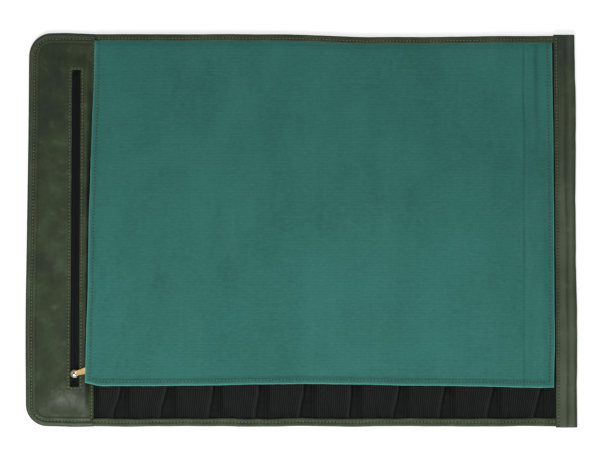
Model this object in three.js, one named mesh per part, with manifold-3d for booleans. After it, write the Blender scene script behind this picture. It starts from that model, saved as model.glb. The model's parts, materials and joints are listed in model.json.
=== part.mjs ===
// Roll-up pencil case, lying open and flat. Millimetres, +Z up.
// X runs from the zip end (-X) to the free end (+X), +Y is the top edge that carries the flap.
// The origin is the centre of the underside. The case rolls up about lines across it, so each
// layer is made in sections that meet at those lines.
import * as THREE from "three";
import { mergeVertices } from "three/addons/utils/BufferGeometryUtils.js";
import Module from "manifold-3d";

const wasm = await Module();
wasm.setup();

// Outline
const LENGTH = 490;
const HEIGHT = 350;
const CORNER_R = 19;
const LEFT = -LENGTH / 2;
const RIGHT = LENGTH / 2;
const TOP = HEIGHT / 2;
const BOTTOM = -HEIGHT / 2;

// Fold lines: the first is beside the zip panel, then one follows each pocket.
const COVER_X = -184;
const FIRST_SEAM_X = -156.4;
const POCKET_PITCH = 41.4;
const POCKETS = 10;
const FOLD_Z = 2;
const COVER_FOLD_DEG = 30;
const FIRST_FOLD_DEG = 37;
const FOLD_STEP_DEG = 2.5;
const SEAM_GAP = 0.15;
const GAP = 0.3;

// Layers
const LEATHER_T = 1.2;
const LINING_Z = LEATHER_T + GAP;
const LINING_T = 0.4;
const HEM_Z = 2.2;
const TOP_HEM_W = 6.7;
const BOTTOM_HEM_W = 7.4;
const HEM_INSET = 1.2;
const HEM_TOP_Z = HEM_Z + LEATHER_T;
const POCKET_T = 0.6;
const POCKET_Z = 10.2;
const POCKET_MOUTH_Y = -20;
const POCKET_SHOULDER_Y = -138;
const POCKET_SEAM_Z = 3.1;
const FOOT_CUT = 0.1; // how far the pocket's room reaches below its feet

// Flap
const FLAP_T = 0.8;
const FLAP_Z = 10.6;
const FLAP_EDGE_Y = -138.5;
const FLAP_KNEE_Y = -5;
const FLAP_ROOT_Y = 167.4;
const FLAP_ROOT_Z = 3.7;
const FLAP_LEFT_LOW_X = -193.6;
const FLAP_RIGHT_X = 224.5;
const FLAP_TIP_Y = 40;
const FLAP_TIP_W = 1;

// Zip panel and zip
const PANEL_RIGHT_X = -185.6;
const PANEL_RIM_W = 3;
const PANEL_SLOPE_W = 4;
const PANEL_TOP_Z = 9.4;
const PANEL_BEND = 0.5; // the hollow starts to slope this far below the rim's top
const CUT_PAST = 1; // how far a cutting tool reaches past the face that it opens
const ZIP_X = -202;
const SLOT_W = 7.7;
const SLOT_BOTTOM_Y = -139.4;
const SLOT_TOP_Y = 143.5;
const COIL_BOTTOM_Y = -134.5;
const COIL_TOP_Y = 137.5;
const TAPE_Z = 6.2;
const TAPE_W = 5.4;
const TAPE_T = 0.4;
const COIL_Z = 6.9;
const COIL_T = 1;
const COIL_INNER = 0.75;
const COIL_W = 1.85;
const STOP_L = 3;
const STOP_W = 3.8;
const SLIDER_Y = -128;
const SLIDER_L = 8.6;
const SLIDER_W = 7.2;
const SLIDER_LOW_Z = 5.3;
const SLIDER_TOP_Z = 9.5;
const SHIELD_TAIL = 0.72; // the top plate's lower end, as a share of its width
const SHIELD_WIDE_Y = 1;
const POST_L = 4.8;
const POST_BACK = 0.5;
const BITE = 0.2; // how far joined shapes reach into each other
const PIN_L = 1.1;
const PIN_RISE = 0.25;
const PULLER_L = 13;
const PULLER_EYE_R = 2;
const PULLER_HALF_W = 2.9;
const PULLER_ROUND = 2;
const PULLER_TILT_DEG = 16;
const PULLER_Z = 9.75;
const PULLER_T = 0.55;
const PIN_R = 0.7;

// End binding
const BINDING_X = 226;
const BINDING_LOW_X = 233;
const BINDING_Z = 4;

const LEATHER = { color: 0x404a38, roughness: 0.5, metalness: 0 };
const LINING = { color: 0x1d1f1f, roughness: 0.95, metalness: 0 };
const CANVAS = { color: 0x2f6a60, roughness: 0.95, metalness: 0 };
const NYLON = { color: 0x17191a, roughness: 0.6, metalness: 0 };
const STEEL = { color: 0xb9b6ac, roughness: 0.35, metalness: 1 };
const BRASS = { color: 0x9a7846, roughness: 0.4, metalness: 1 };

const folds = [{ x: COVER_X, angle: COVER_FOLD_DEG }];
for (let k = 0; k < POCKETS; k++) {
  folds.push({ x: FIRST_SEAM_X + k * POCKET_PITCH, angle: FIRST_FOLD_DEG + k * FOLD_STEP_DEG });
}
const SECTIONS = folds.length + 1;

// How far a layer whose top is at z stays from a fold line, so that two sections can close up.
function inset(fold, z) {
  const half = THREE.MathUtils.degToRad(fold.angle / 2);
  return Math.max(z - FOLD_Z, 0) * Math.tan(half) + GAP;
}

function sectionSpan(k, z) {
  const left = k === 0 ? LEFT : folds[k - 1].x + (z > FOLD_Z ? inset(folds[k - 1], z) : SEAM_GAP);
  const right = k === SECTIONS - 1 ? RIGHT : folds[k].x - (z > FOLD_Z ? inset(folds[k], z) : SEAM_GAP);
  return [left, right];
}

function box(x0, x1, y0, y1, z0, z1) {
  const geometry = new THREE.BoxGeometry(x1 - x0, y1 - y0, z1 - z0);
  return geometry.translate((x0 + x1) / 2, (y0 + y1) / 2, (z0 + z1) / 2);
}

// Extrudes an XY outline between two heights.
function plate(outline, z0, z1) {
  const options = { depth: z1 - z0, bevelEnabled: false, curveSegments: 10 };
  const geometry = new THREE.ExtrudeGeometry(outline, options);
  return geometry.translate(0, 0, z0);
}

// Extrudes a list of [y, z] points along X.
function alongX(profile, x0, x1) {
  const shape = new THREE.Shape(profile.map(([y, z]) => new THREE.Vector2(y, z)));
  const geometry = new THREE.ExtrudeGeometry(shape, { depth: x1 - x0, bevelEnabled: false });
  const turn = new THREE.Matrix4().makeBasis(
    new THREE.Vector3(0, 1, 0), new THREE.Vector3(0, 0, 1), new THREE.Vector3(1, 0, 0));
  return geometry.applyMatrix4(turn).translate(x0, 0, 0);
}

// Skins a list of rings, each a list of [x, y, z] with the same number of points, and caps both ends.
function loft(rings) {
  const count = rings[0].length;
  const triangles = [];
  for (let r = 0; r + 1 < rings.length; r++) {
    for (let i = 0; i < count; i++) {
      const j = (i + 1) % count;
      const [a, b, c, d] = [rings[r][i], rings[r][j], rings[r + 1][j], rings[r + 1][i]];
      triangles.push(a, b, c, a, c, d);
    }
  }
  const [first, last] = [rings[0], rings[rings.length - 1]];
  for (let i = 1; i + 1 < count; i++) {
    triangles.push(first[0], first[i + 1], first[i], last[0], last[i], last[i + 1]);
  }
  const geometry = new THREE.BufferGeometry();
  geometry.setAttribute("position", new THREE.Float32BufferAttribute(triangles.flat(), 3));
  return geometry;
}

function toSolid(geometry) {
  const bare = geometry.clone();
  for (const name of Object.keys(bare.attributes)) {
    if (name !== "position") bare.deleteAttribute(name);
  }
  const welded = mergeVertices(bare, 1e-5);
  return new wasm.Manifold(new wasm.Mesh({
    numProp: 3,
    vertProperties: new Float32Array(welded.attributes.position.array),
    triVerts: new Uint32Array(welded.index.array),
  }));
}

function toGeometry(solid) {
  const mesh = solid.getMesh();
  const geometry = new THREE.BufferGeometry();
  geometry.setAttribute("position", new THREE.BufferAttribute(mesh.vertProperties, 3));
  geometry.setIndex(new THREE.BufferAttribute(mesh.triVerts, 1));
  return geometry;
}

function join(...geometries) {
  return toGeometry(geometries.map(toSolid).reduce((sum, next) => sum.add(next)));
}

function cut(geometry, ...tools) {
  return toGeometry(tools.map(toSolid).reduce((rest, tool) => rest.subtract(tool), toSolid(geometry)));
}

// The outline of the zip end: round corners on the left, square ones on the right.
function zipEndOutline(margin, right) {
  const [x0, y0, y1, r] = [LEFT + margin, BOTTOM + margin, TOP - margin, CORNER_R - margin];
  const outline = new THREE.Shape();
  outline.moveTo(right, y0);
  outline.lineTo(right, y1);
  outline.lineTo(x0 + r, y1);
  outline.absarc(x0 + r, y1 - r, r, Math.PI / 2, Math.PI, false);
  outline.lineTo(x0, y0 + r);
  outline.absarc(x0 + r, y0 + r, r, Math.PI, 1.5 * Math.PI, false);
  return outline;
}

// One section of the outer leather, with its top and bottom edges turned over as hems.
function backPanel(k) {
  const [left, right] = sectionSpan(k, 0);
  if (k === 0) return plate(zipEndOutline(0, right), 0, LEATHER_T);
  const last = k === SECTIONS - 1;
  const end = last ? BINDING_LOW_X - GAP : right;
  const hemEnd = last ? BINDING_X - GAP : right - HEM_INSET;
  const base = box(left, end, BOTTOM, TOP, 0, LEATHER_T);
  const hem = (edge, width, side) => {
    const profile = [
      [edge, 0], [edge, HEM_TOP_Z], [edge - side * width, HEM_TOP_Z], [edge - side * width, HEM_Z],
      [edge - side * LEATHER_T, HEM_Z], [edge - side * LEATHER_T, 0],
    ];
    return alongX(side > 0 ? profile : profile.reverse(), left + HEM_INSET, hemEnd);
  };
  return join(base, hem(TOP, TOP_HEM_W, 1), hem(BOTTOM, BOTTOM_HEM_W, -1));
}

// One section of the inner lining. In the zip end it lies inside the zip panel's rim.
function lining(k) {
  const edge = LEATHER_T + GAP;
  if (k === 0) {
    const rim = PANEL_RIM_W + LEATHER_T + GAP;
    return plate(zipEndOutline(rim, PANEL_RIGHT_X - rim), LINING_Z, LINING_Z + LINING_T);
  }
  const [left, right] = sectionSpan(k, 0);
  const end = k === SECTIONS - 1 ? RIGHT - edge : right;
  return box(left, end, BOTTOM + edge, TOP - edge, LINING_Z, LINING_Z + LINING_T);
}

// A pocket's cross-section at y, from its stitched feet up to its flat front.
function pocketRing(k, y, footZ, topZ, wall) {
  const side = (fold, z) => inset(fold, z) + wall;
  const [a, b] = [folds[k - 1], folds[k]];
  return [
    [a.x + side(a, footZ), y, footZ], [a.x + side(a, topZ), y, topZ],
    [b.x - side(b, topZ), y, topZ], [b.x - side(b, footZ), y, footZ],
  ];
}

// A pleated pocket, open at its mouth and stitched shut at the bottom hem.
function pocket(k) {
  const seamY = BOTTOM + BOTTOM_HEM_W + GAP;
  const foot = HEM_Z;
  const outer = loft([
    pocketRing(k, seamY, foot, POCKET_SEAM_Z, 0),
    pocketRing(k, POCKET_SHOULDER_Y, foot, POCKET_Z, 0),
    pocketRing(k, POCKET_MOUTH_Y, foot, POCKET_Z, 0),
  ]);
  const below = foot - FOOT_CUT;
  const inner = loft([
    pocketRing(k, seamY + 2 * POCKET_T, below, POCKET_SEAM_Z - POCKET_T, POCKET_T),
    pocketRing(k, POCKET_SHOULDER_Y, below, POCKET_Z - POCKET_T, POCKET_T),
    pocketRing(k, POCKET_MOUTH_Y + CUT_PAST, below, POCKET_Z - POCKET_T, POCKET_T),
  ]);
  return cut(outer, inner);
}

// One section of the flap: it leaves the top hem, rises over the pockets and lies flat on them.
function flapStrip(k) {
  if (k === 0) {
    const right = COVER_X - inset(folds[0], FLAP_Z + FLAP_T);
    const outline = new THREE.Shape([
      new THREE.Vector2(right - FLAP_TIP_W, FLAP_TIP_Y), new THREE.Vector2(FLAP_LEFT_LOW_X, FLAP_EDGE_Y),
      new THREE.Vector2(right, FLAP_EDGE_Y), new THREE.Vector2(right, FLAP_TIP_Y),
    ]);
    return plate(outline, FLAP_Z, FLAP_Z + FLAP_T);
  }
  const [left, right] = sectionSpan(k, FLAP_Z + FLAP_T);
  const under = [[FLAP_EDGE_Y, FLAP_Z], [FLAP_KNEE_Y, FLAP_Z], [FLAP_ROOT_Y, FLAP_ROOT_Z]];
  const over = under.map(([y, z]) => [y, z + FLAP_T]).reverse();
  return alongX([...under, ...over], left, k === SECTIONS - 1 ? FLAP_RIGHT_X : right);
}

// The zip panel's front leather: a flat rim, a sloping shoulder and a raised top with the zip window.
function zipPanel() {
  const ring = (margin, z) => zipEndOutline(margin, PANEL_RIGHT_X - margin).extractPoints(8).shape
    .map((p) => [p.x, p.y, z]);
  const shoulder = PANEL_RIM_W + PANEL_SLOPE_W;
  const rim = plate(zipEndOutline(0, PANEL_RIGHT_X), LINING_Z, LINING_Z + LEATHER_T);
  const dome = loft([
    ring(PANEL_RIM_W, LINING_Z), ring(PANEL_RIM_W, LINING_Z + LEATHER_T), ring(shoulder, PANEL_TOP_Z),
  ]);
  const hollow = loft([
    ring(PANEL_RIM_W + LEATHER_T, LINING_Z - CUT_PAST),
    ring(PANEL_RIM_W + LEATHER_T, LINING_Z + LEATHER_T - PANEL_BEND),
    ring(shoulder + LEATHER_T, PANEL_TOP_Z - LEATHER_T),
  ]);
  const slot = box(ZIP_X - SLOT_W / 2, ZIP_X + SLOT_W / 2, SLOT_BOTTOM_Y, SLOT_TOP_Y,
    PANEL_TOP_Z - LEATHER_T - CUT_PAST, PANEL_TOP_Z + CUT_PAST);
  return cut(join(rim, dome), hollow, slot);
}

// A strip along the zip on one side of its centre line.
function zipStrip(side, width, y0, y1, z, thickness) {
  const [near, far] = [ZIP_X + side * COIL_INNER, ZIP_X + side * (COIL_INNER + width)];
  return box(Math.min(near, far), Math.max(near, far), y0, y1, z, z + thickness);
}

function zipTape(side) {
  return zipStrip(side, TAPE_W, SLOT_BOTTOM_Y - STOP_L, SLOT_TOP_Y + STOP_L, TAPE_Z, TAPE_T);
}

function zipCoil(side) {
  return zipStrip(side, COIL_W, COIL_BOTTOM_Y, COIL_TOP_Y, COIL_Z, COIL_T);
}

function zipStop(y) {
  const half = STOP_W / 2;
  return box(ZIP_X - half, ZIP_X + half, y, y + STOP_L, COIL_Z, COIL_Z + COIL_T + BITE);
}

// The slider's two plates, the post between them and the pin that carries the puller.
function zipSlider() {
  const [halfW, halfL, post] = [SLIDER_W / 2, SLIDER_L / 2, COIL_INNER - GAP];
  const [underZ, overZ] = [TAPE_Z - GAP, COIL_Z + COIL_T + GAP];
  const shield = new THREE.Shape();
  shield.moveTo(-halfW, SHIELD_WIDE_Y);
  shield.lineTo(-halfW * SHIELD_TAIL, -halfL);
  shield.lineTo(halfW * SHIELD_TAIL, -halfL);
  shield.lineTo(halfW, SHIELD_WIDE_Y);
  shield.quadraticCurveTo(halfW, halfL, 0, halfL);
  shield.quadraticCurveTo(-halfW, halfL, -halfW, SHIELD_WIDE_Y);
  const top = plate(shield, overZ, SLIDER_TOP_Z);
  const bottom = box(-halfW, halfW, -halfL, halfL, SLIDER_LOW_Z, underZ);
  const postEnd = halfL - POST_BACK;
  const middle = box(-post, post, postEnd - POST_L, postEnd, underZ - BITE, overZ + BITE);
  const pin = new THREE.CylinderGeometry(PIN_R, PIN_R, PIN_L, 20).rotateX(Math.PI / 2);
  pin.translate(0, 0, SLIDER_TOP_Z + PIN_RISE);
  return join(top, bottom, middle, pin).translate(ZIP_X, SLIDER_Y, 0);
}

// The flat tab that hangs on the slider's pin by a round eye.
function zipPuller() {
  const [half, near] = [PULLER_HALF_W, PULLER_L - PULLER_ROUND];
  const tab = new THREE.Shape();
  tab.absarc(0, 0, PULLER_EYE_R, Math.PI / 2, 1.5 * Math.PI, false);
  tab.lineTo(near, -half);
  tab.quadraticCurveTo(PULLER_L, -half, PULLER_L, PULLER_ROUND - half);
  tab.lineTo(PULLER_L, half - PULLER_ROUND);
  tab.quadraticCurveTo(PULLER_L, half, near, half);
  tab.holes.push(new THREE.Path().absarc(0, 0, PIN_R + GAP, 0, 2 * Math.PI, true));
  return plate(tab, 0, PULLER_T);
}

// The leather folded round the free end.
function endBinding() {
  const upper = box(BINDING_X, RIGHT, BOTTOM, TOP, BINDING_Z - LEATHER_T, BINDING_Z);
  const lower = box(BINDING_LOW_X, RIGHT, BOTTOM, TOP, 0, LEATHER_T);
  const edge = box(RIGHT - LEATHER_T, RIGHT, BOTTOM, TOP, 0, BINDING_Z);
  return join(upper, lower, edge);
}

const group = new THREE.Group();

function add(name, geometry, look, parent = group) {
  const mesh = new THREE.Mesh(geometry, new THREE.MeshStandardMaterial(look));
  mesh.name = name;
  parent.add(mesh);
}

for (let k = 0; k < SECTIONS; k++) {
  add(`back_panel_${k}`, backPanel(k), LEATHER);
  add(`lining_${k}`, lining(k), LINING);
  add(`flap_strip_${k}`, flapStrip(k), CANVAS);
}
for (let k = 1; k <= POCKETS; k++) add(`pocket_${k}`, pocket(k), LINING);

add("zip_panel", zipPanel(), LEATHER);
for (const [name, side] of [["left", -1], ["right", 1]]) {
  add(`zip_tape_${name}`, zipTape(side), NYLON);
  add(`zip_coil_${name}`, zipCoil(side), NYLON);
}
add("zip_top_stop", zipStop(COIL_TOP_Y + GAP), STEEL);
add("zip_bottom_stop", zipStop(COIL_BOTTOM_Y - GAP - STOP_L), STEEL);
add("zip_slider", zipSlider(), STEEL);

const pullerPlace = new THREE.Group();
pullerPlace.position.set(ZIP_X, SLIDER_Y, PULLER_Z);
pullerPlace.rotation.z = THREE.MathUtils.degToRad(PULLER_TILT_DEG);
group.add(pullerPlace);
add("zip_puller", zipPuller(), BRASS, pullerPlace);

add("end_binding", endBinding(), LEATHER);

export default group;
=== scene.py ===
"""Roll-up pencil case: leather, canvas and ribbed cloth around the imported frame. Metres, row frame."""
import json
import math

import bpy
import numpy as np
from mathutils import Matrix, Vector


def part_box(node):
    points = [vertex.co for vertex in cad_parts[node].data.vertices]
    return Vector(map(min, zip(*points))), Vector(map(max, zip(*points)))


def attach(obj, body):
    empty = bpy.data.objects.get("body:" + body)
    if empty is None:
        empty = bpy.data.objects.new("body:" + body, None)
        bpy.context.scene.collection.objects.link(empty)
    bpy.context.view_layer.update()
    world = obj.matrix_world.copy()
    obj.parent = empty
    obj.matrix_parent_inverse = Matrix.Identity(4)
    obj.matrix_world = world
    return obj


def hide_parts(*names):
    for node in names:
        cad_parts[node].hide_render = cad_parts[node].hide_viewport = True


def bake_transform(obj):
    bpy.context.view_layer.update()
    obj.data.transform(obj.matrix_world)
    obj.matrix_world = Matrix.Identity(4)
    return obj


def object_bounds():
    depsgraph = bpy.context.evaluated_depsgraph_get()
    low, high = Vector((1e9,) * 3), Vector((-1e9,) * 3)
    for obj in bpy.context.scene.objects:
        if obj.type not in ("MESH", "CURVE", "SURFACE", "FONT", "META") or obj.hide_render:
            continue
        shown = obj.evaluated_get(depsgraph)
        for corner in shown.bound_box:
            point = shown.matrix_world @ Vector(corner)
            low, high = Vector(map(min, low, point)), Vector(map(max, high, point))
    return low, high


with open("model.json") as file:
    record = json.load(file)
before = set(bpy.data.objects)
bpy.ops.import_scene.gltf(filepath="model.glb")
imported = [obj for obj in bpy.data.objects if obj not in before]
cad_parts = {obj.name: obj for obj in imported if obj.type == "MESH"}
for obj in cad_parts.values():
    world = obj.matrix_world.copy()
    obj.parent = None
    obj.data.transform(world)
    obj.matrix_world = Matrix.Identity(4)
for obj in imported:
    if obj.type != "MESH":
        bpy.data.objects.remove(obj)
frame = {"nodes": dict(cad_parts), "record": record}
CAD_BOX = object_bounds()

MM = 0.001
RNG = np.random.default_rng(7)

# ---------------------------------------------------------------- sizes, from the frame
LOW, HIGH = (np.array(c) for c in CAD_BOX)
LEFT, RIGHT = LOW[0], HIGH[0]
BOTTOM, TOP = LOW[1], HIGH[1]
JOINTS = {j["name"]: j for j in frame["record"]["behaviour"]["joints"]}
FOLDS = [JOINTS["cover_fold"]["pos_m"][0], JOINTS["roll_up"]["pos_m"][0]]
FOLDS += [JOINTS[f"roll_{k}"]["pos_m"][0] for k in range(2, 11)]
# One cell of each cloth runs from the middle of one section to the middle of the next, across one fold.
MIDS = [LEFT] + [(a + b) / 2 for a, b in zip(FOLDS, FOLDS[1:])] + [RIGHT]

PANEL_HIGH = np.array(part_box("zip_panel")[1])
PANEL_RIGHT = PANEL_HIGH[0]
PANEL_RIM = 3.2 * MM
PANEL_RISE = PANEL_HIGH[2] - 3.7 * MM
LEATHER = 1.2 * MM
HEM_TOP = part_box("back_panel_5")[1][2]
TOP_HEM, BOTTOM_HEM = 6.7 * MM, 7.4 * MM
CORNER = 19 * MM
LINING_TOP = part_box("lining_5")[1][2]
LINING_T, POCKET_T = 0.4 * MM, 0.5 * MM
POCKET_HIGH = np.array(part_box("pocket_5")[1])
POCKET_FLOOR = LINING_TOP + POCKET_T
POCKET_CROWN = POCKET_HIGH[2] - 1.5 * MM
MOUTH_Y = POCKET_HIGH[1]
MOUTH_HEM = 5.4 * MM
SHOULDER_Y = BOTTOM + 37 * MM
FLAP_LOW, FLAP_HIGH = (np.array(c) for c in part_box("flap_strip_5"))
FLAP_ROOT_Y = FLAP_HIGH[1]
FLAP_T = 0.8 * MM
FLAP_TOP = FLAP_HIGH[2]
FLAP_LEFT_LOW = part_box("flap_strip_0")[0][0] + 1.2 * MM
FLAP_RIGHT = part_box("flap_strip_11")[1][0]
FLAP_HEM, FLAP_SEAM = 5.0 * MM, 4.2 * MM
CREASE_X = FOLDS[-1] - 18.0 * MM
FAINT_CREASE = 12.5 * MM
BINDING_LOW, BINDING_HIGH = (np.array(c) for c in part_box("end_binding"))
SLIDER_LOW, SLIDER_HIGH = (np.array(c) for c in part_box("zip_slider"))
ZIP_X = (SLIDER_LOW[0] + SLIDER_HIGH[0]) / 2
SLIDER_Y = (SLIDER_LOW[1] + SLIDER_HIGH[1]) / 2
SLOT_HALF = 3.85 * MM
SLOT_LOW_Y, SLOT_HIGH_Y = -139.4 * MM, 143.5 * MM
# How far each row of stitches lies inside its edge.
SEAM, EDGE_SEAM, SLOT_SEAM, BINDING_SEAM = 5.2 * MM, 1.7 * MM, 1.7 * MM, 2.5 * MM
STITCH_PITCH = 3.0 * MM
RIB = 1.9 * MM


# ---------------------------------------------------------------- materials
class Nodes:
    """A material's node tree, with short ways to add the nodes that every cloth here uses."""

    def __init__(self, name):
        self.material = bpy.data.materials.new(name)
        self.material.use_nodes = True
        self.tree = self.material.node_tree
        self.shader = self.tree.nodes["Principled BSDF"]
        rest = self.add("ShaderNodeAttribute")
        rest.attribute_name = "rest"
        self.rest = rest.outputs["Vector"]

    def add(self, kind, **inputs):
        node = self.tree.nodes.new(kind)
        for key, value in inputs.items():
            self.put(value, node.inputs[key])
        return node

    def put(self, value, socket):
        if isinstance(value, bpy.types.NodeSocket):
            self.tree.links.new(value, socket)
        else:
            socket.default_value = value

    def math(self, operation, a, b=0.0, c=0.0):
        node = self.tree.nodes.new("ShaderNodeMath")
        node.operation = operation
        for value, socket in zip((a, b, c), node.inputs):
            self.put(value, socket)
        return node.outputs[0]

    def noise(self, scale, detail=3.0, roughness=0.55, stretch=(1, 1, 1)):
        place = self.add("ShaderNodeMapping", Vector=self.rest)
        place.inputs["Scale"].default_value = stretch
        node = self.add("ShaderNodeTexNoise", Vector=place.outputs[0], Scale=scale)
        node.inputs["Detail"].default_value = detail
        node.inputs["Roughness"].default_value = roughness
        return node.outputs["Fac"]

    def cells(self, scale, feature="F1"):
        node = self.add("ShaderNodeTexVoronoi", Vector=self.rest, Scale=scale)
        node.feature = feature
        return node.outputs["Distance"]

    def threads(self, pitch, axis):
        """A rounded thread profile, 0 to 1, repeating every pitch along X or Y."""
        split = self.add("ShaderNodeSeparateXYZ", Vector=self.rest)
        turn = self.math("MULTIPLY", split.outputs[axis], 2 * math.pi / pitch)
        return self.math("MULTIPLY_ADD", self.math("SINE", turn), 0.5, 0.5)

    def ramp(self, value, stops):
        node = self.add("ShaderNodeValToRGB", Fac=value)
        while len(node.color_ramp.elements) < len(stops):
            node.color_ramp.elements.new(0.5)
        for element, (at, color) in zip(node.color_ramp.elements, stops):
            element.position = at
            element.color = (*color, 1)
        return node.outputs["Color"]

    def remap(self, value, low, high, out_low, out_high):
        node = self.tree.nodes.new("ShaderNodeMapRange")
        for key, v in zip(("Value", "From Min", "From Max", "To Min", "To Max"),
                          (value, low, high, out_low, out_high)):
            self.put(v, node.inputs[key])
        return node.outputs[0]

    def mix(self, factor, a, b, kind="MIX"):
        node = self.tree.nodes.new("ShaderNodeMix")
        node.data_type = "RGBA"
        node.blend_type = kind
        self.put(factor, node.inputs["Factor"])
        for value, socket in ((a, node.inputs[6]), (b, node.inputs[7])):
            self.put(value if isinstance(value, bpy.types.NodeSocket) else (*value, 1), socket)
        return node.outputs[2]

    def wear_and_painted_light(self, color, light, dark):
        """Mixes in painted light from a mesh attribute: a painted highlight or sheen where it is above 0,
        painted shade in seams, grooves and folds where it is below 0.
        """
        tone = self.add("ShaderNodeAttribute")
        tone.attribute_name = "wear_and_painted_light"
        fac = tone.outputs["Fac"]
        color = self.mix(self.math("MAXIMUM", fac, 0.0), color, light)
        return self.mix(self.math("MAXIMUM", self.math("MULTIPLY", fac, -1.0), 0.0), color, dark)

    def bump(self, height, distance, strength=1.0, normal=None):
        node = self.add("ShaderNodeBump", Height=height, Distance=distance, Strength=strength)
        if normal is not None:
            self.put(normal, node.inputs["Normal"])
        return node.outputs["Normal"]

    def finish(self, color, roughness, normal=None, **fixed):
        self.put(color, self.shader.inputs["Base Color"])
        self.put(roughness, self.shader.inputs["Roughness"])
        if normal is not None:
            self.put(normal, self.shader.inputs["Normal"])
        for key, value in fixed.items():
            self.shader.inputs[key.replace("_", " ")].default_value = value
        return self.material


def linear(r, g, b):
    """A display colour, 0 to 255, as scene linear."""
    def one(v):
        v /= 255
        return v / 12.92 if v <= 0.04045 else ((v + 0.055) / 1.055) ** 2.4
    return one(r), one(g), one(b)


def leather_material():
    """Waxed olive leather: mottled, scuffed and finely grained, with painted sheen and painted shade mixed
    in from a mesh attribute.
    """
    n = Nodes("olive_leather")
    mottle = n.noise(16, 4, 0.6)
    wash = n.noise(48, 5, 0.65)
    both = n.math("MULTIPLY_ADD", wash, 0.45, n.math("MULTIPLY", mottle, 0.55))
    greens = [(0.38, linear(40, 51, 40)), (0.5, linear(51, 63, 40)), (0.64, linear(66, 80, 56))]
    color = n.ramp(both, greens)
    speck = n.noise(2200, 2)
    color = n.mix(n.remap(speck, 0.35, 0.65, 0.0, 0.3), color, linear(28, 35, 23))
    scuffs = n.noise(95, 5, 0.7)
    color = n.mix(n.remap(scuffs, 0.56, 0.74, 0.0, 0.35), color, linear(90, 102, 78))
    # Painted light: the greyish light colour is a painted sheen, the dark one is painted shade.
    color = n.wear_and_painted_light(color, linear(94, 104, 86), linear(20, 26, 16))
    rough = n.remap(n.noise(60, 4), 0.3, 0.7, 0.44, 0.68)
    broad = n.bump(n.noise(62, 3, 0.5, (1.5, 0.8, 1.0)), 2.2 * MM, 0.85)
    creases = n.bump(n.noise(230, 4, 0.6), 0.22 * MM, 0.5, broad)
    grain = n.bump(n.cells(900), 0.10 * MM, 0.5, creases)
    return n.finish(color, rough, grain, Specular_IOR_Level=0.32)


def canvas_material():
    """Teal canvas with an even weave and slubs, with painted highlights along its folded edges and painted
    shade in its seams and creases.
    """
    n = Nodes("teal_canvas")
    broad = n.noise(11, 3)
    color = n.ramp(broad, [(0.3, linear(49, 109, 100)), (0.7, linear(57, 124, 115))])
    patchy = n.noise(42, 4, 0.6, (1.0, 0.35, 1.0))
    color = n.mix(n.remap(patchy, 0.4, 0.68, 0.0, 0.24), color, linear(76, 140, 130))
    slub = n.noise(700, 3, 0.6, (1.0, 0.3, 1.0))
    color = n.mix(n.remap(slub, 0.35, 0.65, 0.0, 0.22), color, linear(38, 90, 83))
    across = n.noise(700, 3, 0.6, (0.3, 1.0, 1.0))
    color = n.mix(n.remap(across, 0.4, 0.7, 0.0, 0.2), color, linear(82, 152, 141))
    warp, weft = n.threads(1.0 * MM, 0), n.threads(1.3 * MM, 1)
    weave = n.math("MULTIPLY", warp, weft)
    color = n.mix(n.remap(weave, 0.0, 0.5, 0.3, 0.0), color, linear(26, 64, 58))
    # Painted light: the pale teal is a painted edge highlight, the deep teal is painted shade.
    color = n.wear_and_painted_light(color, linear(104, 176, 164), linear(20, 56, 50))
    bumpy = n.bump(weave, 0.22 * MM, 0.8)
    soft = n.bump(n.noise(90, 4), 0.5 * MM, 0.35, bumpy)
    return n.finish(color, 0.95, soft, Specular_IOR_Level=0.15)


def ribbed_material():
    """Black cloth with ribs along the pockets, with painted shade in its pleats and seams and a faint
    painted highlight before each fold.
    """
    n = Nodes("ribbed_cloth")
    ribs = n.threads(RIB, 0)
    color = n.mix(n.remap(ribs, 0.2, 0.9, 0.0, 1.0), linear(7, 8, 8), linear(29, 31, 30))
    fluff = n.noise(700, 3, 0.6, (1.0, 0.3, 1.0))
    color = n.mix(n.remap(fluff, 0.35, 0.7, 0.0, 0.3), color, linear(38, 40, 39))
    # Painted light: the grey is a faint painted highlight, the near black is painted shade.
    color = n.wear_and_painted_light(color, linear(60, 62, 61), linear(4, 4, 4))
    bumpy = n.bump(ribs, 0.35 * MM, 0.9)
    return n.finish(color, 0.95, bumpy, Specular_IOR_Level=0.15)


def lining_material():
    n = Nodes("lining_cloth")
    warp, weft = n.threads(0.5 * MM, 0), n.threads(0.5 * MM, 1)
    weave = n.math("MULTIPLY", warp, weft)
    color = n.mix(weave, linear(13, 14, 14), linear(29, 30, 30))
    color = n.mix(n.remap(n.noise(30, 4), 0.3, 0.7, 0.0, 0.35), color, linear(34, 35, 35))
    return n.finish(color, 0.9, n.bump(weave, 0.12 * MM, 0.6), Specular_IOR_Level=0.2)


def tape_material():
    n = Nodes("zip_tape_cloth")
    weft = n.threads(0.9 * MM, 1)
    color = n.mix(weft, linear(9, 10, 10), linear(23, 26, 25))
    return n.finish(color, 0.85, n.bump(weft, 0.15 * MM, 0.7), Specular_IOR_Level=0.2)


def plain_material(name, color, rough):
    n = Nodes(name)
    tone = n.noise(900, 2)
    darker = tuple(c * 0.6 for c in color)
    return n.finish(n.mix(tone, darker, color), rough, Specular_IOR_Level=0.3)


def thread_material(name, dark, light):
    n = Nodes(name)
    twist = n.noise(1800, 2)
    color = n.mix(twist, dark, light)
    return n.finish(color, 0.7, n.bump(twist, 0.08 * MM, 0.5), Specular_IOR_Level=0.3)


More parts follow.
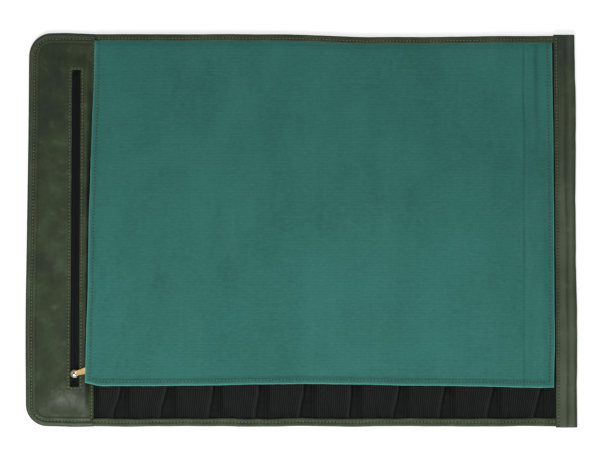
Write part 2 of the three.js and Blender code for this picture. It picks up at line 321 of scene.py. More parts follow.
def metal_material(name, color, wear_and_painted_light, rough):
    n = Nodes(name)
    scratch = n.noise(900, 4, 0.6, (1.0, 0.15, 1.0))
    tint = n.mix(n.remap(scratch, 0.35, 0.7, 0.0, 0.6), color, wear_and_painted_light)
    r = n.remap(scratch, 0.3, 0.7, rough * 0.8, rough * 1.3)
    return n.finish(tint, r, n.bump(scratch, 0.03 * MM, 0.4), Metallic=1.0)


def floor_material():
    n = Nodes("white_floor")
    tone = n.noise(6, 2)
    color = n.mix(tone, (0.60, 0.60, 0.60), (0.62, 0.62, 0.62))
    n.put((1, 1, 1, 1), n.shader.inputs["Emission Color"])
    return n.finish(color, 0.95, Specular_IOR_Level=0.0, Emission_Strength=0.62)


M = {
    "leather": leather_material(),
    "canvas": canvas_material(),
    "ribbed": ribbed_material(),
    "lining": lining_material(),
    "tape": tape_material(),
    "olive_thread": thread_material("olive_thread", linear(76, 88, 54), linear(126, 138, 98)),
    "grey_thread": thread_material("grey_thread", linear(56, 88, 80), linear(104, 128, 118)),
    "black_thread": thread_material("black_thread", linear(14, 15, 15), linear(34, 35, 35)),
    # Dark beads painted as the shade inside the needle holes.
    "hole": plain_material("needle_hole_shade", linear(20, 24, 16), 0.9),
    "black_metal": metal_material("black_stops", linear(34, 35, 35), linear(20, 20, 20), 0.45),
    "steel": metal_material("slider_metal", linear(232, 228, 218), linear(190, 184, 168), 0.2),
    "brass": metal_material("puller_brass", linear(240, 208, 150), linear(206, 166, 108), 0.5),
}


# ---------------------------------------------------------------- meshes
def piece(name, points, faces, material, slot, sharp=42, cloth=None, wear_and_painted_light=None):
    """A mesh piece that remembers where its cloth lies flat, so that the weave follows when it bends."""
    points = np.asarray(points, float)
    cloth = points if cloth is None else cloth
    mesh = bpy.data.meshes.new(name)
    mesh.from_pydata(points.tolist(), [], [list(map(int, f)) for f in faces])
    mesh.validate()
    rest = mesh.attributes.new("rest", "FLOAT_VECTOR", "POINT")
    rest.data.foreach_set("vector", np.asarray(cloth, np.float32).ravel())
    # Per-point painted light: above 0 a painted highlight or sheen, below 0 painted shade.
    if wear_and_painted_light is not None:
        tone = mesh.attributes.new("wear_and_painted_light", "FLOAT", "POINT")
        tone.data.foreach_set("value", np.asarray(wear_and_painted_light, np.float32).ravel())
    mesh.shade_smooth()
    mesh.set_sharp_from_angle(angle=math.radians(sharp))
    mesh.materials.append(material)
    obj = bpy.data.objects.new(name, mesh)
    bpy.context.scene.collection.objects.link(obj)
    return obj


def grid_faces(rows, columns, start=0, flip=False, ring=False):
    """Quads over a rows by columns grid of points, closed round the columns if ring."""
    faces = []
    for r in range(rows - 1):
        for c in range(columns if ring else columns - 1):
            d = (c + 1) % columns
            quad = (start + r * columns + c, start + r * columns + d,
                    start + (r + 1) * columns + d, start + (r + 1) * columns + c)
            faces.append(quad[::-1] if flip else quad)
    return faces


def sheet_points(x, y, z, thick):
    """A closed sheet from grids of its upper face: rows go along +Y and columns along +X."""
    rows, columns = x.shape
    upper = np.stack([x, y, z], -1).reshape(-1, 3)
    lower = np.stack([x, y, z - thick], -1).reshape(-1, 3)
    count = rows * columns
    faces = grid_faces(rows, columns) + grid_faces(rows, columns, count, True)
    around = list(range(columns)) + [r * columns + columns - 1 for r in range(1, rows)]
    around += [(rows - 1) * columns + c for c in range(columns - 2, -1, -1)]
    around += [r * columns for r in range(rows - 2, 0, -1)]
    for a, b in zip(around, around[1:] + around[:1]):
        faces.append((b, a, a + count, b + count))
    return np.concatenate([upper, lower]), faces


def swept(profile_rows, cap=True):
    """A closed tube of profiles: an array of stations by points by xyz."""
    stations, count, _ = profile_rows.shape
    faces = grid_faces(stations, count, ring=True)
    if cap:
        faces.append(tuple(range(count))[::-1])
        faces.append(tuple((stations - 1) * count + i for i in range(count)))
    return profile_rows.reshape(-1, 3), faces


def wave(t, seed, length, octaves=3):
    """Smooth repeatable unevenness along t, about -1 to 1, with wavelengths from length down."""
    rng = np.random.default_rng(seed)
    total = np.zeros_like(np.asarray(t, float))
    for k in range(octaves):
        phase, stretch = rng.uniform(0, 2 * math.pi), rng.uniform(0.8, 1.25)
        total = total + np.sin(2 * math.pi * t * stretch * 2**k / length + phase) / 1.7**k
    return total / 1.6


def ease(t):
    """0 below 0, 1 above 1 and a smooth rise between."""
    t = np.clip(t, 0, 1)
    return t * t * (3 - 2 * t)


def between(low, high, step, extra=()):
    """Stations from low to high about step apart, with the extra ones that lie inside."""
    n = max(2, int(math.ceil((high - low) / step)) + 1)
    inside = [e for e in extra if low + 1e-5 < e < high - 1e-5]
    every = np.concatenate([np.linspace(low, high, n), inside])
    return np.unique(np.round(every, 7))


# ---------------------------------------------------------------- shapes of the layers
def bell(t, centre, width):
    """A bump of height 1 at centre, with e-folding width."""
    return np.exp(-(((t - centre) / width) ** 2))


def hem_edge(x, side):
    """How far the turned top or bottom edge stands out of line at x: leather never lies quite straight."""
    if side < 0:
        return 0.32 * MM * wave(x, 12, 0.12)
    bow = 1.65 - 2.6 * ease((x + 0.03) / 0.10) + 1.1 * ease((x - 0.09) / 0.12)
    bow = bow + 0.9 * bell(x, -0.214, 0.022)
    return (bow + 0.14 * wave(x, 11, 0.08)) * MM


def left_edge(y):
    """How far the zip end's left edge bows out at y."""
    return (0.45 + 1.35 * bell(y, -0.082, 0.075) + 0.4 * bell(y, 0.02, 0.06)) * MM


def right_edge(y):
    """How far the binding's right edge stands out at y."""
    return (0.95 * bell(y, 0.105, 0.05) + 0.7 * bell(y, -0.085, 0.035) + 0.15 * wave(y, 71, 0.06)) * MM


# How far each pleat's folded edge lies from its seam, at the bottom hem and higher up.
FOLD_LOW = RNG.uniform(8.4, 11.0, len(FOLDS)) * MM
FOLD_HIGH = RNG.uniform(3.4, 7.0, len(FOLDS)) * MM


def fold_x(y, k):
    """The pleat's folded edge before seam k: it slants away from the seam towards the bottom hem."""
    t = ease((SHOULDER_Y + 2 * MM - y) / (32 * MM))
    wander = 0.5 * MM * wave(y + 0.03 * k, 60 + k, 0.06)
    return FOLDS[k] - (FOLD_HIGH[k] + (FOLD_LOW[k] - FOLD_HIGH[k]) * t) + wander


def pocket_height(y):
    """How high a pocket's front stands at y: full under the flap, down to the floor at the bottom hem."""
    foot, full = BOTTOM + 5.5 * MM, SHOULDER_Y + 6 * MM
    return POCKET_FLOOR + (POCKET_CROWN - POCKET_FLOOR) * ease((y - foot) / (full - foot))


def pocket_surface(x, y):
    """Height of the pleated pocket cloth, how far along its cloth each point lies, and its painted light:
    painted shade along each fold, on each seam and just past it, with a faint painted highlight before
    each fold.
    """
    rise = pocket_height(y) - POCKET_FLOOR
    share, along, shade = np.zeros_like(x), np.array(x), np.zeros_like(x)
    shown = ease((SHOULDER_Y + 12 * MM - y) / (30 * MM))
    for k in range(1, len(FOLDS)):
        a, b = FOLDS[k - 1], FOLDS[k]
        fold = fold_x(y, k)
        start = a + (1.6 + 1.2 * math.sin(5.1 * k)) * MM * ease((SHOULDER_Y - y) / (30 * MM))
        up = ease((x - start + 0.5 * MM) / (5.5 * MM))
        crown = 1 - 0.14 * np.cos(np.pi * np.clip((x - a) / np.maximum(fold - a, MM), 0, 1)) ** 2
        down = 1 - 0.72 * ease((x - fold) / (0.8 * MM))
        seam = ease((b - x) / (2.4 * MM))
        inside = (x >= a) & (x < b)
        share = np.where(inside, up * crown * down * seam, share)
        front = a + (x - a) / (fold - a) * (b - a - 7 * MM)
        # Under each pleat the cloth coordinate is held at a darkish rib phase, so the recessed band is
        # painted as shade.
        band = RIB * (round(b / RIB) - 0.03)
        along = np.where(inside, np.where(x < fold, front, band), along)
        # Painted shade along the fold, on the seam and just past the previous seam, and a faint painted
        # highlight just before the fold.
        dark = 0.7 * bell(x, fold + 1.0 * MM, 0.8 * MM) + 0.65 * bell(x, b, 1.2 * MM)
        dark = dark + 0.45 * ease((a + 6 * MM - x) / (6 * MM)) - 0.16 * bell(x, fold - 1.6 * MM, 1.6 * MM)
        shade = np.where((x >= a) & (x < b + 0.5 * MM), np.minimum(dark, 0.95), shade)
    dents = 0.2 * MM * wave(x * 1.3 + y, 31, 0.05) * share
    folds = 0.5 * MM * wave(along * 1.7 + 0.22 * y, 33, 0.026, 2) * share * shown
    return POCKET_FLOOR + rise * share + dents + folds, along, -shade


def flap_edge_y(x):
    """The flap's lower edge: short at the left hem, a little high in the middle and low at the right."""
    y = FLAP_LOW[1] - 0.3 * MM + 1.9 * MM * bell(x, 0.002, 0.085) - 1.5 * MM * ease((x - 0.13) / 0.09)
    return y + 3.2 * MM * (1 - ease((x + 0.196) / 0.020)) + 0.12 * MM * wave(x, 44, 0.05)


def flap_left_x(y):
    """The flap's slanting left edge."""
    low, high = FLAP_LEFT_LOW, PANEL_RIGHT - 0.8 * MM
    slant = np.clip((y - FLAP_LOW[1]) / (FLAP_ROOT_Y - FLAP_LOW[1]), -0.02, 1.02)
    return low + (high - low) * slant + 0.35 * MM * wave(y, 45, 0.22)


def flap_right_x(y):
    """The flap's right edge, which draws in a little near the bottom."""
    return FLAP_RIGHT + (0.2 - 1.1 * ease((-0.09 - y) / 0.05)) * MM + 0.2 * MM * wave(y, 46, 0.2)


def flap_root_y(x):
    """Where the flap goes in under the top hem's lip."""
    return TOP + hem_edge(x, 1) - TOP_HEM + 0.35 * MM


def crease_x(y):
    """The pressed crease near the flap's right edge."""
    return CREASE_X + 0.008 * y + 0.5 * MM * wave(y, 47, 0.16)


def flap_margin(x, y):
    """Distance inside the flap's three free edges."""
    return np.minimum(np.minimum(y - flap_edge_y(x), x - flap_left_x(y)), flap_right_x(y) - x)


def flap_z(x, y):
    """Upper face of the flap: low at the top hem, over the pockets, with hems and a pressed crease."""
    down = flap_root_y(x) - y
    climb = ease(down / 0.168) ** 1.35
    z = (3.35 + 1.0 * ease(down / 0.006) + (FLAP_TOP / MM - 4.35 - 0.3) * climb) * MM
    z = z + 0.26 * MM * wave(x + 0.2 * y, 41, 0.19) * climb
    z = z + 0.22 * MM * wave(y - 0.25 * x, 42, 0.16) * climb
    edge = flap_margin(x, y)
    z = z + 0.45 * MM * (1 - ease((edge - FLAP_HEM) / (0.5 * MM)))
    z = z - 0.40 * MM * bell(edge, FLAP_SEAM, 0.55 * MM)
    upper = ease((y + 0.02) / 0.12)
    z = z - (0.5 + 0.35 * upper) * MM * bell(x, crease_x(y), 0.9 * MM)
    z = z + 1.0 * MM * (1 - ease((x - PANEL_RIGHT) / (4 * MM))) * (1 - ease(down / 0.03))
    z = z + (0.15 + 0.35 * upper) * MM * bell(x, CREASE_X + 3.4 * MM, 1.9 * MM)
    z = z - 0.9 * MM * ease((y - 0.04) / 0.09) * bell(x, CREASE_X + FAINT_CREASE, 2.2 * MM)
    z = z - 3.0 * MM * ease((x - FOLDS[-1] + 3 * MM) / (11 * MM)) * climb
    return z - 0.45 * MM * (1 - ease(edge / (1.1 * MM)))


def flap_painted_light(x, y):
    """The flap's painted light: a painted highlight along its folded edges, and painted shade along its
    stitches and creases.
    """
    edge = flap_margin(x, y)
    tone = 0.42 * (1 - ease((edge - 0.3 * MM) / (1.0 * MM))) - 0.22 * bell(edge, FLAP_SEAM, 0.7 * MM)
    patchy = np.clip(0.6 + 0.5 * wave(y, 48, 0.13), 0.15, 1)
    # Painted shade in the creases, whose depth comes and goes along y.
    tone = tone - 0.24 * patchy * bell(x, crease_x(y), 0.9 * MM)
    faint = CREASE_X + FAINT_CREASE + 0.5 * wave(y, 49, 0.1) * MM
    return tone - 0.26 * ease((y - 0.04) / 0.09) * bell(x, faint, 2.2 * MM)


def panel_distance(x, y):
    """Distance inside the zip panel's outline, which has round corners on its left."""
    dx = x - LEFT
    dy = np.minimum(TOP - y, y - BOTTOM)
    cx, cy = CORNER - dx, CORNER - dy
    corner = (cx > 0) & (cy > 0)
    return np.where(corner, CORNER - np.hypot(cx, cy), np.minimum(dx, dy))


def bowed(x, y):
    """The zip panel's plan, with its true edges bowed out of line, fading away inside."""
    left = left_edge(y) * (1 - ease((x - LEFT) / (34 * MM)))
    upper = hem_edge(x, 1) * (1 - ease((TOP - y) / (26 * MM)))
    lower = hem_edge(x, -1) * (1 - ease((y - BOTTOM) / (26 * MM)))
    return x - left, y + upper - lower


def slot_distance(x, y):
    """Distance outside the zip's window."""
    return np.maximum(np.abs(x - ZIP_X) - SLOT_HALF, np.maximum(SLOT_LOW_Y - y, y - SLOT_HIGH_Y))


def panel_z(x, y):
    """Upper face of the zip panel: a flat stitched rim, then a soft rise to the zip."""
    d, right, slot = panel_distance(x, y), PANEL_RIGHT - x, slot_distance(x, y)
    ends = ease((TOP - y - 5 * MM) / (34 * MM)) * ease((y - BOTTOM - 3 * MM) / (38 * MM))
    rise = ease((d - 8.0 * MM) / (19 * MM)) * ease((right - 2.6 * MM) / (5.2 * MM)) * ends
    z = PANEL_RIM + PANEL_RISE * rise
    z = z - 1.1 * MM * (1 - ease(d / (1.8 * MM))) - 0.5 * MM * (1 - ease(right / (0.8 * MM)))
    z = z + 0.30 * MM * bell(d, 2.9 * MM, 0.8 * MM) - 0.38 * MM * bell(d, SEAM, 0.75 * MM)
    z = z + 0.24 * MM * bell(d, 7.2 * MM, 0.7 * MM) - 0.26 * MM * bell(d, 8.6 * MM, 0.8 * MM)
    z = z - 0.3 * MM * bell(right, EDGE_SEAM, 0.6 * MM)
    inner = ease((d - 9 * MM) / (6 * MM)) * ease((right - 3 * MM) / (5 * MM))
    inner = inner * ease((slot - 1 * MM) / (9 * MM))
    z = z + (0.30 * wave(x * 1.6 + y * 0.7, 51, 0.05) + 0.34 * wave(x + 0.25 * y, 52, 0.030)) * MM * inner
    return z - 0.4 * MM * (1 - ease(slot / (0.8 * MM))) - 0.25 * MM * bell(slot, SLOT_SEAM, 0.55 * MM)


def panel_painted_light(x, y):
    """The panel's painted light: painted highlights on its two edge ridges (above 0), and painted shade in
    its seams, along its outer edge, over its lower slope and round the window's seam (below 0).
    """
    d, right, slot = panel_distance(x, y), PANEL_RIGHT - x, slot_distance(x, y)
    # Painted highlights on the two ridges; painted shade in the seams and along the outer edge.
    tone = 0.30 * bell(d, 2.9 * MM, 0.9 * MM) + 0.16 * bell(d, 7.2 * MM, 0.8 * MM)
    tone = tone - 0.45 * bell(d, SEAM, 0.8 * MM) - 0.35 * bell(d, 8.8 * MM, 0.8 * MM)
    tone = tone - 0.5 * (1 - ease(d / (1.2 * MM))) - 0.4 * bell(right, EDGE_SEAM, 0.6 * MM)
    # Painted shade over the lower slope, which damps that slope's highlight.
    tone = tone - 0.22 * ease((BOTTOM + 60 * MM - y) / (40 * MM)) * ease((d - 8 * MM) / (8 * MM))
    return tone - 0.4 * bell(slot, SLOT_SEAM, 0.6 * MM)


# ---------------------------------------------------------------- stitches
STITCH_RING = 6
STITCH_L = 2.25 * MM
STITCH_R = 0.38 * MM
STITCH_LIFT = 0.05 * MM


def stitches(path_points, pitch=STITCH_PITCH, size=1.0):
    """Small thread capsules along an open path of points, and dark beads between them, painted as the
    shade in the needle holes.
    """
    path = np.asarray(path_points, float)
    along = np.concatenate([[0], np.cumsum(np.linalg.norm(np.diff(path, axis=0), axis=1))])
    count = int(along[-1] / pitch)

    def at(t):
        return np.array([np.interp(t, along, path[:, i]) for i in range(3)])

    threads, holes = [], []
    step = along[-1] / count
    for k in range(count):
        centre = (k + 0.5) * step
        threads.append(capsule(at(centre - 0.5 * STITCH_L * size), at(centre + 0.5 * STITCH_L * size),
                               STITCH_R * size))
        holes.append(hole(at(k * step), at(k * step + 0.1 * step) - at(k * step)))
    return threads, holes


def hole(centre, along):
    """A needle hole: a low bead, painted dark as the shade in the hole, that fills the dip between two
    stitches.
    """
    d = along / max(np.linalg.norm(along), 1e-9)
    side = np.array([-d[1], d[0], 0.0])
    points = [centre + np.array([0, 0, 0.16 * MM])]
    for r, z in ((0.32, 0.12), (0.5, -0.12)):
        for i in range(8):
            a = 2 * math.pi * i / 8
            round_it = r * 1.05 * math.cos(a) * d + r * math.sin(a) * side
            points.append(centre + MM * round_it + (0, 0, z * MM))
    faces = [(0, 1 + i, 1 + (i + 1) % 8) for i in range(8)]
    faces += [(1 + i, 9 + i, 9 + (i + 1) % 8, 1 + (i + 1) % 8) for i in range(8)]
    faces.append(tuple(range(16, 8, -1)))
    return np.array(points), faces


def capsule(a, b, radius):
    """A thread segment that dips at both ends."""
    d = (b - a) / max(np.linalg.norm(b - a), 1e-9)
    side = np.cross(d, (0, 0, 1.0))
    side /= max(np.linalg.norm(side), 1e-9)
    up = np.cross(side, d)
    tip, shoulder = (0.25, -0.55), (0.85, 0.0)
    stations = ((0.0, *tip), (0.16, *shoulder), (0.5, 1.0, 0.35), (0.84, *shoulder), (1.0, *tip))
    points = []
    for t, r, lift in stations:
        centre = a + (b - a) * t + up * lift * radius
        for i in range(STITCH_RING):
            angle = 2 * math.pi * i / STITCH_RING
            points.append(centre + radius * r * (math.cos(angle) * side + math.sin(angle) * up))
    faces = grid_faces(len(stations), STITCH_RING, ring=True)
    faces.append(tuple(range(STITCH_RING))[::-1])
    faces.append(tuple((len(stations) - 1) * STITCH_RING + i for i in range(STITCH_RING)))
    return np.array(points), faces


def joined(parts):
    """One mesh of several."""
    points, faces, start = [], [], 0
    for p, f in parts:
        points.append(p)
        faces += [tuple(i + start for i in q) for q in f]
        start += len(p)
    return np.concatenate(points), faces


def by_cell(parts):
    """Stitches sorted into the cells between section middles."""
    cells = [[] for _ in FOLDS]
    for p, f in parts:
        x = p[:, 0].mean()
        cell = int(np.clip(np.searchsorted(MIDS, x) - 1, 0, len(FOLDS) - 1))
        cells[cell].append((p, f))
    return cells


# ---------------------------------------------------------------- placing pieces and cells
def bend(obj):
    """Bakes a piece's placement into its mesh; it does not bend the piece."""
    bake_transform(obj)


def cell_span(j, first, last):
    """The stretch of cell j for a layer that runs from first to last."""
    return max(MIDS[j], first), min(MIDS[j + 1], last)


# ---------------------------------------------------------------- leather
def hem_top_z(x, side):
    """Height of a turned hem's top, which puckers a little between stitches."""
    return HEM_TOP + 0.22 * MM * abs(wave(x, 21 if side > 0 else 22, 0.035))


def hem_seam_y(x, side):
    """The row of stitches along a turned hem."""
    edge = (TOP if side > 0 else BOTTOM) + hem_edge(x, side)
    return edge - side * ((3.9 if side > 0 else 4.1) * MM)


def back_profile(x):
    """The outer leather's cross-section at x, turned over at the top and bottom, and its painted light:
    painted shade under the hem's lip, in its seam, down its turned edge and on the hidden inner faces,
    with a faint painted highlight on the hem's top.
    """
    r = HEM_TOP / 2
    paths = []
    for side, hem in ((1, TOP_HEM), (-1, BOTTOM_HEM)):
        edge = (TOP if side > 0 else BOTTOM) + hem_edge(x, side)
        lip = edge - side * (hem + 0.25 * MM * wave(x, 23 + side, 0.05))
        top, seam = hem_top_z(x, side), hem_seam_y(x, side)
        # Painted shade under the lip and in the stitch groove, a faint painted highlight along the hem's
        # top.
        path = [(lip, top - 0.8 * MM, -0.3),
                (lip + side * 0.3 * MM, top - 0.15 * MM, 0.0),
                (lip + side * 1.0 * MM, top + 0.05 * MM, 0.06),
                (seam - side * 0.9 * MM, top + 0.05 * MM, 0.05),
                (seam - side * 0.3 * MM, top - 0.3 * MM, -0.4),
                (seam + side * 0.3 * MM, top - 0.3 * MM, -0.4),
                (seam + side * 1.0 * MM, top + 0.08 * MM, 0.03)]
        centre = edge - side * r
        for a in np.linspace(80, -80, 9):
            turn = math.radians(a)
            height = top - r if a > 0 else r
            # Painted shade down the turned edge: slight near the top, deep on its side and underside.
            tone = -0.05 if a > 30 else -0.5
            path.append((centre + side * r * math.cos(turn), r + height * math.sin(turn), tone))
        paths.append(path)
    inside = [(paths[1][0][0], HEM_TOP - LEATHER), (BOTTOM + 1.4 * MM, HEM_TOP - LEATHER),
              (BOTTOM + 1.4 * MM, LEATHER), (TOP - 1.4 * MM, LEATHER), (TOP - 1.4 * MM, HEM_TOP - LEATHER),
              (paths[0][0][0], HEM_TOP - LEATHER)]
    closed = paths[0] + paths[1][::-1]
    ring = [(x, y, z) for y, z, _ in closed] + [(x, y, z) for y, z in inside]
    return ring, [tone for _, _, tone in closed] + [-0.2] * len(inside)


def make_back():
    """The outer leather, one piece for each cell."""
    for j in range(len(FOLDS)):
        left, right = cell_span(j, PANEL_RIGHT, BINDING_LOW[0] + 7 * MM)
        profiles = [back_profile(x) for x in between(left, right, 2.2 * MM)]
        points, faces = swept(np.array([ring for ring, _ in profiles]))
        obj = piece(f"outer_leather_{j}", points, faces, M["leather"], "leather", 50,
                    wear_and_painted_light=[tone for _, tone in profiles])
        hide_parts(f"back_panel_{j}")
        if j == len(FOLDS) - 1:
            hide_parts("back_panel_11")
        bend(obj)


def panel_ring(margin, inset, count):
    """Points round the zip panel: margin inside its outer edges and inset from its straight right edge."""
    r = CORNER - margin
    x0, y0, y1, right = LEFT + margin, BOTTOM + margin, TOP - margin, PANEL_RIGHT - inset
    arc = np.radians(np.linspace(0, 45, 9))
    left = [(x0 + r - r * math.cos(a), y0 + r - r * math.sin(a)) for a in arc[::-1]]
    left += [(x0, y) for y in np.linspace(y0 + r, y1 - r, 80)[1:-1]]
    left += [(x0 + r - r * math.cos(a), y1 - r + r * math.sin(a)) for a in arc]
    upper = [(x0 + r - r * math.sin(a), y1 - r + r * math.cos(a)) for a in arc[::-1]] + [(right, y1)]
    lower = [(right, y0)] + [(x0 + r - r * math.sin(a), y0 + r - r * math.cos(a)) for a in arc]
    sides = [left, upper, [(right, y1), (right, y0)], lower]
    return np.concatenate([resampled(s, n) for s, n in zip(sides, count)])


def resampled(path, count):
    """count points at equal steps along a plan path, without its last point."""
    path = np.array(path, float)
    along = np.concatenate([[0], np.cumsum(np.linalg.norm(np.diff(path, axis=0), axis=1))])
    at = np.linspace(0, along[-1], count + 1)[:-1]
    return np.stack([np.interp(at, along, path[:, i]) for i in range(2)], -1)


def slot_ring(margin, count):
    """Points round the zip's window, margin outside it."""
    s0, s1 = ZIP_X - SLOT_HALF - margin, ZIP_X + SLOT_HALF + margin
    y0, y1 = SLOT_LOW_Y - margin, SLOT_HIGH_Y + margin
    corners = [(s0, y0), (s0, y1), (s1, y1), (s1, y0)]
    return np.concatenate([resampled([corners[i], corners[(i + 1) % 4]], n) for i, n in enumerate(count)])


def make_zip_panel():
    """The padded leather round the zip window, and the plain leather behind it."""
    count = (160, 34, 160, 34)
    outer = [panel_ring(d * MM, 0.4 * d * MM, count) for d in
             (0, 0.35, 0.8, 1.4, 2.0, 2.6, 3.2, 3.9, 4.6, 5.2, 5.8, 6.5, 7.2, 7.9, 8.6, 9.4, 10.4)]
    inner = [slot_ring(d * MM, count) for d in (5, 3.8, 3.0, 2.4, 2.0, 1.7, 1.4, 1.0, 0.6, 0.3, 0)]
    middle = [outer[-1] + (inner[0] - outer[-1]) * t for t in np.linspace(0, 1, 8)[1:-1]]
    plan = outer + middle + inner
    rows, tones = [], []
    for xy in plan:
        x, y = xy.T
        bx, by = bowed(x, y)
        rows.append(np.column_stack([bx, by, panel_z(x, y)]))
        tones.append(panel_painted_light(x, y))
    under = [row - (0, 0, LEATHER) for row in rows[::-1]]
    rim = rows[0].copy()
    rim[:, 2] = LEATHER + 0.1 * MM
    total, around = 2 * len(rows) + 1, sum(count)
    points = np.concatenate(rows + under + [rim])
    wear_and_painted_light = np.concatenate(tones + [np.zeros(around * (len(rows) + 1))])
    faces = grid_faces(total, around, ring=True, flip=True)
    last = (total - 1) * around
    faces += [(c, (c + 1) % around, last + (c + 1) % around, last + c) for c in range(around)]
    obj = piece("zip_panel_leather", points, faces, M["leather"], "leather", 65, wear_and_painted_light=wear_and_painted_light)
    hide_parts("zip_panel")
    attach(obj, "zip_end")

    back = panel_ring(0, -0.4 * MM, (90, 20, 10, 20))
    x, y = bowed(*back.T)
    rows = [np.column_stack([x, y, np.full(len(x), z)]) for z in (0, LEATHER)]
    # The back plate is painted darker all over.
    tones = np.full(2 * len(x), -0.3)
    obj = piece("zip_end_back", *swept(np.array(rows)[:, ::-1]), M["leather"], "leather", wear_and_painted_light=tones)
    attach(obj, "zip_end")


def make_binding():
    """The leather folded round the free end."""
    low, high = BINDING_LOW[1] - 0.9 * MM, BINDING_HIGH[1] + 0.9 * MM
    top, right, left = BINDING_HIGH[2], BINDING_HIGH[0], BINDING_LOW[0]
    rows, tones = [], []
    across = np.array([0.6, 1.3, 1.9, 2.5, 3.1, 3.8, 4.8, 6, 7.2,
                       8.2, 9, 9.7, 10.4, 11.1, 12, 13, 14.2, 15.4]) * MM
    for y in between(low, high, 2.5 * MM):
        groove = 10.7 * MM + 0.8 * MM * wave(y, 73, 0.3) - 1.4 * MM * ease((y - 0.10) / 0.06)
        upper = ease((y - 0.09) / 0.06)
        z = top + 0.15 * MM + 0.2 * MM * wave(y, 72, 0.05) * ease((across - 4 * MM) / (3 * MM))
        z = z - 0.4 * MM * bell(across, BINDING_SEAM, 0.6 * MM) - 0.5 * MM * bell(across, groove, 1.1 * MM)
        dent = upper * bell(across, 6.6 * MM, 0.9 * MM)
        z = z + 0.3 * MM * bell(across, 7 * MM, 2.4 * MM) - 0.4 * MM * dent
        # Painted shade in the stitch groove, the fold groove and the dent; a painted sheen along the
        # raised crest and near the outer edge; lighter towards the bottom.
        tone = -0.4 * bell(across, BINDING_SEAM, 0.7 * MM) - 0.3 * bell(across, groove, 1.0 * MM)
        painted_sheen = (0.6 + 0.4 * wave(y, 74, 0.09)) * (1 - 0.8 * upper)
        tone = tone + 0.25 * bell(across, 7 * MM, 2.6 * MM) * painted_sheen
        tone = tone + 0.34 * ease((0.13 - y) / 0.14) * (0.8 + 0.3 * wave(y, 75, 0.12))
        tone = tone + 0.2 * bell(across, 14.5 * MM, 1.6 * MM) - 0.35 * dent
        end = 0.4 * MM * (1 - ease((high - abs(y)) / (1.5 * MM)))
        width = right - left + right_edge(y)
        # Painted shade on the binding's inner end, its underside and the lower half of its rounded edge.
        section = [(0, 2.5 * MM, -0.5), (0, top - 0.5 * MM, -0.4), (0.25 * MM, top - 0.05 * MM, 0.0)]
        section += list(zip(across, z, tone))
        r = top / 2
        section += [(width - r + r * math.cos(a), r + r * math.sin(a), 0.0 if a > 0 else -0.5)
                    for a in np.radians(np.linspace(75, -85, 9))]
        section += [(7 * MM, 0, -0.3), (7 * MM, 2.5 * MM, -0.3)]
        rows.append([(left + x, y, max(z - end, 0)) for x, z, _ in section])
        tones.append([tone for _, _, tone in section])
    obj = piece("end_binding_leather", *swept(np.array(rows)[:, ::-1]), M["leather"], "leather", 60,
                wear_and_painted_light=np.array(tones)[:, ::-1])
    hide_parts("end_binding")
    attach(obj, "free_end")


# ---------------------------------------------------------------- cloth
def make_lining():
    """The lining under the pockets, and the one inside the zip pocket."""
    for j in range(len(FOLDS)):
        left, right = cell_span(j, PANEL_RIGHT - 3 * MM, RIGHT - 3 * MM)
        x, y = np.meshgrid(between(left, right, 3 * MM), between(BOTTOM + 2 * MM, TOP - 2 * MM, 5 * MM))
        z = LINING_TOP + 0.12 * MM * wave(x + 0.6 * y, 81, 0.09)
        obj = piece(f"lining_cloth_{j}", *sheet_points(x, y, z, LINING_T), M["lining"], "lining")
        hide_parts(f"lining_{max(j, 1)}")
        if j == 1:
            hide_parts("lining_0")
        if j == len(FOLDS) - 1:
            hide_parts("lining_11")
        bend(obj)
    x, y = np.meshgrid(between(LEFT + 5 * MM, PANEL_RIGHT - 5 * MM, 6 * MM),
                       between(BOTTOM + 14 * MM, TOP - 14 * MM, 6 * MM))
    z = LINING_TOP + 0.1 * MM * wave(x + y, 82, 0.05)
    obj = piece("zip_pocket_lining", *sheet_points(x, y, z, LINING_T), M["lining"], "lining")
    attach(obj, "zip_end")


def make_pockets():
    """The ribbed pocket cloth, with a pleat before each seam."""
    low = BOTTOM + 4.5 * MM
    ys = np.concatenate([between(low, SHOULDER_Y, 1.6 * MM), between(SHOULDER_Y, MOUTH_Y, 5 * MM)[1:],
                         [MOUTH_Y - MOUTH_HEM, MOUTH_Y - 4.9 * MM, MOUTH_Y - 0.3 * MM]])
    ys = np.unique(np.round(ys, 7))
    for j in range(len(FOLDS)):
        left, right = cell_span(j, PANEL_RIGHT - 3 * MM, BINDING_LOW[0] + 2 * MM)
        x, y = np.meshgrid(between(left, right, 0.7 * MM), ys)
        z, along, shade = pocket_surface(x, y)
        z = z + 0.3 * MM * ease((y - MOUTH_Y + MOUTH_HEM) / (0.5 * MM))
        cloth = np.concatenate([np.stack([along, y, z], -1).reshape(-1, 3)] * 2)
        obj = piece(f"pocket_cloth_{j}", *sheet_points(x, y, z, POCKET_T), M["ribbed"], "pocket_cloth", 70,
                    cloth=cloth, wear_and_painted_light=np.concatenate([shade.ravel()] * 2))
        if j < 10:
            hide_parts(f"pocket_{j + 1}")
        bend(obj)


